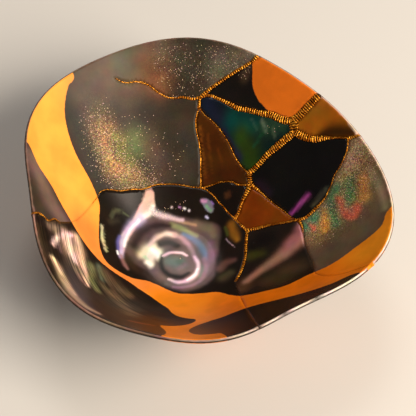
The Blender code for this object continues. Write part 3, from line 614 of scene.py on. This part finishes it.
# For each piece: the colour it starts from and its strokes
PAINT = {
    "shard_base_and_floor": ((26, 19, 14), FLOOR_COLOURS_AND_PAINTED_LIGHT),
    "shard_upper_left": ((52, 43, 33), UPPER_LEFT_TONES_AND_HIGHLIGHT),
    "shard_upper_right": ((20, 15, 12), (
        (((350, 850), (365, 885)), (28, 20), (86, 62, 46), 0.7),)),
    "shard_lower_right": ((30, 22, 17), LOWER_RIGHT_STROKES),
    "shard_right_rim": ((98, 80, 62), RIGHT_RIM_STROKES),
    "patch_amber_rim": ((174, 100, 16), (
        (((735, 470), (800, 465), (890, 420)), (20, 48, 45), (38, 17, 2), 0.94),
        (((720, 600), (800, 600)), (30,), (150, 92, 26), 0.5))),
    "patch_blue_green": ((6, 26, 26), BLUE_GREEN_STROKES),
    "patch_brown_tall": ((66, 34, 4), (
        (((120, 660), (170, 600)), (60,), (58, 28, 3), 0.85),
        (((105, 670), (122, 570), (138, 470)), (7, 10), (112, 62, 12), 0.7),
        (((150, 640), (165, 550), (185, 480)), (6, 8), (98, 50, 8), 0.6),
        (((210, 580), (235, 520), (250, 450)), (8, 6), (92, 44, 6), 0.6),
        (((240, 460), (340, 460)), (60, 50), (56, 26, 4), 0.85))),
    "patch_black_large": ((13, 11, 10), BLACK_LARGE_STROKES),
    "patch_black_small": ((20, 12, 7), ((((275, 362),), (16,), (96, 56, 30), 0.85),)),
    "patch_amber_triangle": ((122, 58, 3), (
        (((400, 160), (420, 300)), (50, 40), (112, 46, 1), 0.85),)),
}
# Where the glass shows its sparkling crackle with painted glints, placed where the highlight falls: rows of
# (a, b), reach and amount
GRAIN_AND_PAINTED_GLINTS = {
    "shard_upper_left": (
        (((-420, 600), (-360, 460), (-220, 440)), (130, 120), 1.0),
        (((-200, 600), (-100, 550)), (200,), 0.3),
        (((-50, 900), (300, 870)), (120, 100), 0.55)),
    "shard_right_rim": ((((700, 20), (840, 120), (900, 300)), (110, 100), 0.9),),
    "shard_base_and_floor": ((((-140, 300), (0, 330)), (50,), 0.35),),
    "shard_upper_right": ((((350, 860),), (40,), 0.5),),
    "patch_blue_green": ((((490, 600), (570, 600)), (50, 30), 0.25),),
}
# Where the lustre is striped lighter and darker in streaks round the near wall
STREAKS = {"shard_base_and_floor": ((((-860, -200), (-600, -400), (-200, -600)), (240, 200), 1.0),)}

# Each piece's slot, roughness, how much its lustre is a mirror, shine, clear gloss, and the orange on it
LOOKS = {
    "shard_base_and_floor": ("dark_lustre_glass", 0.28, 0.12, 0.13, 0.08, ORANGE_BAND),
    "shard_upper_left": ("grey_lustre_glass", 0.45, 0.0, 0.12, 0.02, ORANGE_BAND),
    "shard_upper_right": ("orange_and_black_glass", 0.24, 0.0, 0.2, 0.08, ORANGE_PATCH),
    "shard_lower_right": ("dark_lustre_glass", 0.26, 0.05, 0.16, 0.08, ORANGE_BAND),
    "shard_right_rim": ("olive_lustre_glass", 0.45, 0.0, 0.14, 0.03, ORANGE_BAND),
    "patch_amber_rim": ("amber_glass", 0.3, 0.0, 0.14, 0.04, None),
    "patch_blue_green": ("blue_green_glass", 0.26, 0.0, 0.16, 0.06, None),
    "patch_brown_tall": ("brown_glass", 0.32, 0.0, 0.14, 0.04, None),
    "patch_black_large": ("black_glass", 0.18, 0.0, 0.18, 0.06, None),
    "patch_black_small": ("black_glass", 0.18, 0.0, 0.18, 0.06, None),
    "patch_amber_triangle": ("brown_glass", 0.3, 0.0, 0.14, 0.04, None),
}
OUTSIDE = (52, 42, 34)
ORANGE = (250, 138, 30)
# Painted light and shade on the orange: paler where the light falls on the left wall, deeper towards the
# right
ORANGE_LIGHT_AND_SHADE = (
    (((-850, 750), (-800, 450), (-660, 200)), (350, 250), (250, 164, 66), 1.0),
    (((-620, 50), (-450, -120), (-250, -220)), (140, 120), (224, 128, 56), 0.9),
    (((-100, -330), (150, -420)), (120, 140), (255, 146, 22), 0.95),
    (((350, -430), (600, -430), (850, -250)), (160,), (255, 130, 12), 0.95),
    (((900, -240), (980, -150)), (100,), (255, 158, 30), 0.95),
    (((450, 800), (700, 660)), (300,), (232, 118, 26), 1.0),
)
# Where the paint of the inside ends in the wall, and how far out the foot begins, with the inside at -1
INSIDE_EDGE = 0.5
FOOT_SIDE = 1.05
ORANGE_DEPTH = 0.001
FLOW_ROUND = 3.0
FLOW_UP = 130.0

# The glass: the noises on it, each with its scale and detail, and what they do, from least to most
SPREAD = (0.3, 0.7)
CLOUD_NOISE = (70.0, 5.0)
CLOUD_SHADES = (0.82, 1.2)
ORANGE_SHADES = (0.86, 1.08)
PORE_NOISE = (700.0, 2.0)
PORE_STRENGTH = 0.2
PORE_DEPTH = 0.00008
STREAK_NOISE = (1.0, 3.0)
STREAK_SPREAD = (0.35, 0.65)
STREAK_SHADES = (0.18, 1.8)
PLAY_NOISE = (130.0, 4.0)
IRIDESCENCE = 0.35
GRAIN_SCALE = 2300.0
GRAIN_SHADES = (0.4, 1.45)
GRAIN_HUE = 0.4
GRAIN_ROUGHNESS = 0.12
# Painted glints: bright pale gold cells of the crackle, where it is strongest
PAINTED_GLINT_LEVELS = (1.01, 0.84)
PAINTED_GLINT_REACH = 0.42
PAINTED_GLINT_COLOUR = (1.0, 0.8, 0.52, 1.0)
PAINTED_GLINT_HUE = 0.3
PAINTED_GLINT_STRENGTH = 0.7
BAND_RAGGED = 0.00008
BAND_SOFT = 0.00022
COAT_ROUGHNESS = 0.22

# The gold: its noises and colours, how its dust shows, and how its ribs show, in relief and in painted
# highlight and shade
DUST_NOISE = (1700.0, 2.0)
DUST_SHADES = (0.38, 1.38)
DUST_HEIGHT = 0.8
PATCH_NOISE = (420.0, 4.0)
PATCH_SPREAD = (0.35, 0.65)
GOLD_DARK = (0.28, 0.08, 0.003, 1.0)
GOLD_LIGHT = (0.8, 0.33, 0.03, 1.0)
GOLD_LEAST = 0.12
GOLD_METAL = 0.85
GOLD_ROUGHNESS = (0.28, 0.48)
GOLD_SHINE = 0.2
GOLD_RELIEF = 0.00055
RIB_UNEVEN = 6.0
RIB_HEIGHTS = (0.15, 0.75)
RIB_MIDDLE = 0.55
RIB_SHADE = 1.35
LUMP_WAVES = (310.0, 190.0, 290.0)
LUMP_BEND = 2.0
WORN_ROUGHNESS = 0.3
WORN_EDGE = 1.6
# Where the gold of the hairlines is worn off
WORN = (
    (((-797, -22), (-687, 67), (-548, 229)), (40, 30), 0.45),
    (((325, -225), (342, -281), (373, -428), (405, -568), (435, -729), (470, -980)), (30, 50), 1.0),
    (((644, 0), (652, -91), (680, -196), (724, -319), (804, -363), (1000, -352)), (30, 50), 0.45),
)
# How dark a worn hairline looks on the orange glass
BARE_SHADE = 0.72
# Painted highlight along the lip of the rim, brighter towards the right where the light falls
LIP_HIGHLIGHT = (150, 116, 98)
LIP_BRIGHT_HIGHLIGHT = (232, 204, 186)
LIP_BRIGHT_TURN = -15.0
LIP_REACH = 0.00038
LIP_TURN = 0.45


def feed(tree, made, inputs):
    """Sets or links the inputs of a shader node, by name or number."""
    for key, value in dict(inputs).items():
        if isinstance(value, bpy.types.NodeSocket):
            tree.links.new(value, made.inputs[key])
        else:
            made.inputs[key].default_value = value


def node(tree, kind, inputs=(), **settings):
    """A shader node with its settings and inputs."""
    made = tree.nodes.new("ShaderNode" + kind)
    for key, value in settings.items():
        setattr(made, key, value)
    feed(tree, made, inputs)
    return made


def math_node(tree, operation, first, second=0.0):
    """The result of a sum or other step on two values."""
    return node(tree, "Math", {0: first, 1: second}, operation=operation).outputs[0]


def mixed(tree, share, first, second, blend="MIX"):
    """A mix of two colours by a share."""
    inputs = {0: share, 6: first, 7: second}
    return node(tree, "Mix", inputs, data_type="RGBA", blend_type=blend).outputs[2]


def ranged(tree, value, low, high, to_low=0.0, to_high=1.0):
    """The value carried from one range to another, smoothly."""
    inputs = {"Value": value, 1: low, 2: high, 3: to_low, 4: to_high}
    return node(tree, "MapRange", inputs, interpolation_type="SMOOTHSTEP").outputs[0]


def grey(tree, value):
    """A colour that is the value in all three parts."""
    return node(tree, "CombineColor", {0: value, 1: value, 2: value}).outputs[0]


def read(tree, name, output="Fac"):
    """A value or colour that is laid on the mesh."""
    return node(tree, "Attribute", attribute_name=name).outputs[output]


def noise(tree, place, scale, detail, output="Fac"):
    """A soft noise over the place."""
    return node(tree, "TexNoise", {"Vector": place, "Scale": scale, "Detail": detail}).outputs[output]


def bump(tree, strength, distance, height):
    """The normal of a surface with fine relief."""
    return node(tree, "Bump", {"Strength": strength, "Distance": distance, "Height": height}).outputs[0]


def new_material(name):
    """A material, its tree and its shader."""
    made = bpy.data.materials.new(name)
    made.use_nodes = True
    return made, made.node_tree, made.node_tree.nodes["Principled BSDF"]


def glass_material(name, roughness, mirror, shine, gloss):
    """Lustre glass: its colours with painted highlights, reflections and shade, a sparkling crackle with
    painted glints, streaky lustre striped lighter and darker, and orange glass with painted light and shade
    where it runs.
    """
    made, tree, shader = new_material(name)
    place = node(tree, "TexCoord").outputs["Object"]
    tint_and_painted_light = read(tree, "tint_and_painted_light", "Color")
    away = read(tree, "orange")
    grainy = read(tree, "grain_and_glints")
    streaky = read(tree, "streaks")
    soft = noise(tree, place, *CLOUD_NOISE)
    fine = noise(tree, place, *PORE_NOISE)
    streak_noise = noise(tree, read(tree, "flow", "Vector"), *STREAK_NOISE)
    cells = node(tree, "TexVoronoi", {"Vector": place, "Scale": GRAIN_SCALE})
    parts = node(tree, "SeparateColor", {0: cells.outputs["Color"]}).outputs
    shade = grey(tree, ranged(tree, parts[1], 0.0, 1.0, *GRAIN_SHADES))
    hued = mixed(tree, GRAIN_HUE, tint_and_painted_light, mixed(tree, 1.0, tint_and_painted_light, cells.outputs["Color"], "OVERLAY"))
    lustre = mixed(tree, grainy, tint_and_painted_light, mixed(tree, 1.0, hued, shade, "MULTIPLY"))
    clouds = grey(tree, ranged(tree, soft, *SPREAD, *CLOUD_SHADES))
    lustre = mixed(tree, 1.0, lustre, clouds, "MULTIPLY")
    play = noise(tree, place, *PLAY_NOISE, "Color")
    lustre = mixed(tree, IRIDESCENCE, lustre, play, "OVERLAY")
    strands = grey(tree, ranged(tree, streak_noise, *STREAK_SPREAD, *STREAK_SHADES))
    lustre = mixed(tree, streaky, lustre, mixed(tree, 1.0, lustre, strands, "MULTIPLY"))
    # Painted glints laid into the colour: bright cells where the crackle is strongest
    painted_glint = math_node(tree, "GREATER_THAN", parts[0], ranged(tree, grainy, 0.0, 1.0, *PAINTED_GLINT_LEVELS))
    near = math_node(tree, "LESS_THAN", cells.outputs["Distance"], PAINTED_GLINT_REACH)
    painted_glint = math_node(tree, "MULTIPLY", math_node(tree, "MULTIPLY", painted_glint, near), PAINTED_GLINT_STRENGTH)
    painted_glint_colour = mixed(tree, PAINTED_GLINT_HUE, PAINTED_GLINT_COLOUR, cells.outputs["Color"])
    lustre = mixed(tree, painted_glint, lustre, painted_glint_colour)
    edge = math_node(tree, "ADD", away, ranged(tree, fine, *SPREAD, -BAND_RAGGED, BAND_RAGGED))
    band = ranged(tree, edge, -BAND_SOFT, BAND_SOFT)
    body = mixed(tree, 1.0, read(tree, "orange_with_painted_light", "Color"),
                 grey(tree, ranged(tree, soft, *SPREAD, *ORANGE_SHADES)), "MULTIPLY")
    rough = math_node(tree, "MULTIPLY", grainy, GRAIN_ROUGHNESS)
    feed(tree, shader, {
        "Base Color": mixed(tree, band, lustre, body),
        "Roughness": math_node(tree, "ADD", rough, roughness),
        "Specular IOR Level": shine,
        "Coat Weight": gloss,
        "Coat Roughness": COAT_ROUGHNESS,
        "Normal": bump(tree, PORE_STRENGTH, PORE_DEPTH, fine),
    })
    if mirror:
        metal = math_node(tree, "MULTIPLY", math_node(tree, "SUBTRACT", 1.0, band), mirror)
        feed(tree, shader, {"Metallic": metal})
    return made


def gold_material():
    """Lacquer dusted with gold: ribbed across the broad seams, and like the glass where it is worn."""
    made, tree, shader = new_material("gold_lacquer")
    place = node(tree, "TexCoord").outputs["Object"]
    worn = read(tree, "worn")
    broad = read(tree, "broad")
    dust = noise(tree, place, *DUST_NOISE)
    patch = noise(tree, place, *PATCH_NOISE)
    phase = math_node(tree, "MULTIPLY", read(tree, "way"), 2.0 * math.pi / RIB_PITCH)
    phase = math_node(tree, "ADD", phase, math_node(tree, "MULTIPLY", patch, RIB_UNEVEN))
    ribs = ranged(tree, math_node(tree, "SINE", phase), -1.0, 1.0)
    ribbed = math_node(tree, "MULTIPLY", ribs, ranged(tree, broad, 0.0, 1.0, *RIB_HEIGHTS))
    height = math_node(tree, "ADD", math_node(tree, "MULTIPLY", dust, DUST_HEIGHT), ribbed)
    height = math_node(tree, "MULTIPLY", height, math_node(tree, "SUBTRACT", 1.0, worn))
    colour = mixed(tree, ranged(tree, patch, *PATCH_SPREAD), GOLD_DARK, GOLD_LIGHT)
    # Painted highlight on the crests of the ribs and painted shade in the gaps between them
    rib_light_and_shade = math_node(tree, "MULTIPLY", broad, math_node(tree, "SUBTRACT", ribs, RIB_MIDDLE))
    rib_light_and_shade = math_node(tree, "MULTIPLY", rib_light_and_shade, RIB_SHADE)
    lit = math_node(tree, "ADD", ranged(tree, dust, *SPREAD, *DUST_SHADES), rib_light_and_shade)
    colour = mixed(tree, 1.0, colour, grey(tree, math_node(tree, "MAXIMUM", lit, GOLD_LEAST)), "MULTIPLY")
    rough = ranged(tree, dust, *SPREAD, *GOLD_ROUGHNESS)
    feed(tree, shader, {
        "Base Color": mixed(tree, worn, colour, read(tree, "bare", "Color")),
        "Metallic": ranged(tree, worn, 0.0, 1.0, GOLD_METAL, 0.0),
        "Roughness": math_node(tree, "ADD", rough, math_node(tree, "MULTIPLY", worn, WORN_ROUGHNESS)),
        "Specular IOR Level": GOLD_SHINE,
        "Normal": bump(tree, 1.0, GOLD_RELIEF, height),
    })
    return made


def dress_glass():
    """The pieces of glass, each with its colours and painted light, and its share of the orange band."""
    for name, (base, strokes) in PAINT.items():
        slot, *settings, orange = LOOKS[name]
        mesh, spots, side = refined_glass(name, orange)
        points = in_wall(spots, np.clip(side, -1.0, 1.0))
        for index, vertex in enumerate(mesh.verts):
            if side[index] < FOOT_SIDE:
                vertex.co = points[index]
        inside = smooth(INSIDE_EDGE - side)
        land = 1.0 - smooth(to_rim(spots) / LIP_REACH)
        # Painted highlight along the lip of the rim, brighter towards the right
        lip = land * smooth(LIP_TURN - side)
        # The piece's colours with the highlights, reflections and shade painted in its strokes
        tint_and_painted_light = painted(spots, base, strokes)
        tint_and_painted_light = seen(*OUTSIDE) + (tint_and_painted_light - seen(*OUTSIDE)) * inside[:, None]
        turn = np.arctan2(spots[:, 1], spots[:, 0])
        pale = smooth(np.cos(turn - math.radians(LIP_BRIGHT_TURN)))[:, None]
        lip_highlight = seen(*LIP_HIGHLIGHT) + (seen(*LIP_BRIGHT_HIGHLIGHT) - seen(*LIP_HIGHLIGHT)) * pale
        tint_and_painted_light = tint_and_painted_light + (lip_highlight - tint_and_painted_light) * lip[:, None]
        share = np.hypot(spots[:, 0], spots[:, 1])
        away = signed_distance(spots, orange) if orange else np.full(len(spots), -1.0)
        attributes = {
            "tint_and_painted_light": opaque(tint_and_painted_light),
            "orange": np.minimum(away, ORANGE_DEPTH * (1.0 - 2.0 * land)),
            # The orange's colour with its painted light and shade
            "orange_with_painted_light": opaque(painted(spots, ORANGE, ORANGE_LIGHT_AND_SHADE)),
            # Where the sparkling crackle and its painted glints show
            "grain_and_glints": area_share(spots, GRAIN_AND_PAINTED_GLINTS.get(name, ())) * inside,
            "streaks": area_share(spots, STREAKS.get(name, ())) * inside,
            "flow": np.stack([FLOW_ROUND * np.cos(turn), FLOW_ROUND * np.sin(turn), FLOW_UP * share], axis=1),
        }
        look = glass_material(name + "_look", *settings)
        finished(name + "_lustre", mesh, name, look, attributes)


def area_share(spots, areas):
    """The greatest share of any of the soft areas at the spots."""
    best = np.zeros(len(spots))
    for points, reach, amount in areas:
        best = np.maximum(best, amount * stroke_share(spots, points, reach))
    return best


def worn_share(spots):
    """How much of the gold is worn off at the spots."""
    return smooth(area_share(spots, WORN) * WORN_EDGE)


def gold_levels():
    """The grid near the seams: each spot's place, how far it is inside the gold, its way and half width."""
    cell = GOLD_CELL / RIM_RADIUS
    reach = FILL / 2.0 + GOLD_SKIRT * 2.0
    near = int(reach / GOLD_CELL) + 2
    steps = np.arange(-near, near + 1)
    offsets = np.stack(np.meshgrid(steps, steps, indexing="ij"), axis=2).reshape(-1, 2)
    by_a, by_b = slopes(SEAM_SPOTS)
    middle = np.round(SEAM_SPOTS / cell).astype(int)
    found = {}
    keys, levels, ways, halves = [], [], [], []
    for index in range(len(SEAM_SPOTS)):
        numbers = middle[index] + offsets
        step = numbers * cell - SEAM_SPOTS[index]
        shift = step[:, :1] * by_a[index] + step[:, 1:] * by_b[index]
        away = np.linalg.norm(shift, axis=1)
        level = SEAM_HALVES[index] - away
        close = level > -GOLD_SKIRT * 2.0
        keys.append(numbers[close])
        levels.append(level[close])
        ways.append(SEAM_WAYS[index] + (shift @ SEAM_AIMS[index])[close])
        halves.append(np.full(close.sum(), SEAM_HALVES[index]))
    keys, levels = np.vstack(keys), np.concatenate(levels)
    ways, halves = np.concatenate(ways), np.concatenate(halves)
    order = np.argsort(levels)
    for number in order:
        found[tuple(keys[number])] = number
    best = np.array(list(found.values()))
    return keys[best], levels[best], ways[best], halves[best], cell


def dress_gold():
    """The gold: a fine sheet on both sides of the wall that rises from the glass and is ribbed and grainy."""
    keys, levels, ways, halves, cell = gold_levels()
    spots = keys * cell
    kept = np.hypot(spots[:, 0], spots[:, 1]) < 1.0
    keys, levels, ways, halves, spots = keys[kept], levels[kept], ways[kept], halves[kept], spots[kept]
    worn = worn_share(spots)
    crown = GOLD_CROWN * (1.0 - worn)
    waves = LUMP_BEND * np.sin(spots[:, 1] * LUMP_WAVES[1])
    lumps = np.sin(spots[:, 0] * LUMP_WAVES[0] + waves) * np.sin(spots[:, 1] * LUMP_WAVES[2])
    levels = levels + RAGGED * lumps * smooth((halves - FINE / 2.0) / (BROAD / 2.0)) * (1.0 - worn)
    up = crown * (1.0 - np.exp(-np.clip(levels, 0.0, None) / GOLD_ROUND))
    down = np.clip(levels, -GOLD_SKIRT, 0.0) * crown / GOLD_ROUND
    height = up + down - np.where(levels < -GOLD_SKIRT / 2.0, GOLD_SKIRT, 0.0) - WORN_SINK * worn
    facing = inward(spots)
    inside = in_wall(spots, -np.ones(len(spots))) + facing * height[:, None]
    outside = in_wall(spots, np.ones(len(spots))) - facing * height[:, None]
    mesh = bmesh.new()
    number = {tuple(key): index for index, key in enumerate(keys)}
    flat = {}
    for a, b in keys:
        corners = [number.get((a + da, b + db)) for da, db in ((0, 0), (1, 0), (1, 1), (0, 1))]
        if None in corners or min(levels[corners]) < -GOLD_SKIRT:
            continue
        for corner in corners:
            if corner not in flat:
                flat[corner] = (mesh.verts.new(inside[corner]), mesh.verts.new(outside[corner]))
        mesh.faces.new([flat[corner][0] for corner in corners])
        mesh.faces.new([flat[corner][1] for corner in reversed(corners)])
    borders = [edge for edge in mesh.edges if edge.is_boundary]
    twin = dict(flat.values())
    for edge in borders:
        start, end = edge.verts
        if start in twin and end in twin:
            loop = edge.link_loops[0]
            start, end = loop.vert, loop.link_loop_next.vert
            mesh.faces.new([end, start, twin[start], twin[end]])
    order = np.repeat(list(flat), 2)
    on_orange = smooth(signed_distance(spots, ORANGE_BAND) / BAND_EDGE + 0.5)[:, None]
    dark = painted(spots, *PAINT["shard_lower_right"])
    # A worn hairline on the orange takes the orange's colour with its painted light and shade
    bare = dark + (painted(spots, ORANGE, ORANGE_LIGHT_AND_SHADE) * BARE_SHADE - dark) * on_orange
    broad = smooth((halves - FINE / 2.0) / ((BROAD - FINE) / 2.0))
    attributes = {
        "worn": worn[order],
        "way": ways[order],
        "broad": broad[order],
        "bare": opaque(bare)[order],
    }
    return finished("gold_lacquer", mesh, "gold_seams", gold_material(), attributes)


def look_at(thing, target):
    """Turns a lamp or a camera so that it looks at the target."""
    aim = Vector(target) - thing.location
    thing.rotation_euler = aim.to_track_quat("-Z", "Y").to_euler()


def area_light(name, place, target, size, power, colour):
    """A soft square lamp."""
    lamp = bpy.data.lights.new(name, "AREA")
    lamp.size = size
    lamp.energy = power
    lamp.color = colour
    thing = placed(name, lamp)
    thing.location = place
    look_at(thing, target)


# The camera stands as in the photograph
CAMERA_HEIGHT_ANGLE = 57.0
CAMERA_DISTANCE = 0.7
CAMERA_TARGET = (0.014, 0.014, 0.03)
CAMERA_LENS = 123.6
CAMERA_SENSOR = 36.0
CAMERA_NEAR = 0.01
HALF_PIXEL = 0.5 / 416.0
# Each lamp's place, target, size, power and colour
LAMPS = {
    "key": ((1.13, -0.54, 1.01), (0.0, 0.0, 0.03), 1.0, 46.0, (1.0, 0.89, 0.76)),
    "back": ((-0.06, 1.12, 1.64), (0.0, 0.0, 0.02), 0.7, 9.5, (1.0, 0.93, 0.86)),
}
WORLD_COLOUR = (1.0, 0.95, 0.9, 1.0)
WORLD_STRENGTH = 0.16
FLOOR_SIZE = 12.0
FLOOR_COLOUR = (0.62, 0.6, 0.57, 1.0)
FLOOR_ROUGHNESS = 0.8


def stage():
    """Camera, lamps, world and the pale floor."""
    height = math.radians(CAMERA_HEIGHT_ANGLE)
    lens = bpy.data.cameras.new("camera")
    lens.lens = CAMERA_LENS
    lens.sensor_width = CAMERA_SENSOR
    lens.clip_start = CAMERA_NEAR
    lens.shift_x = -HALF_PIXEL
    lens.shift_y = HALF_PIXEL
    camera = placed("camera", lens)
    away = Vector((0.0, -math.cos(height), math.sin(height))) * CAMERA_DISTANCE
    camera.location = Vector(CAMERA_TARGET) + away
    look_at(camera, CAMERA_TARGET)
    bpy.context.scene.camera = camera

    for name, settings in LAMPS.items():
        area_light(name, *settings)

    world = bpy.data.worlds.new("dim")
    world.use_nodes = True
    tree = world.node_tree
    feed(tree, tree.nodes["Background"], {"Color": WORLD_COLOUR, "Strength": WORLD_STRENGTH})
    bpy.context.scene.world = world

    mesh = bmesh.new()
    bmesh.ops.create_grid(mesh, x_segments=2, y_segments=2, size=FLOOR_SIZE)
    floor = placed("floor", mesh)
    made, tree, shader = new_material("pale_floor")
    feed(tree, shader, {"Base Color": FLOOR_COLOUR, "Roughness": FLOOR_ROUGHNESS})
    floor.data.materials.append(made)
    bpy.context.scene.view_settings.view_transform = "Standard"


dress_glass()
dress_gold()
stage()
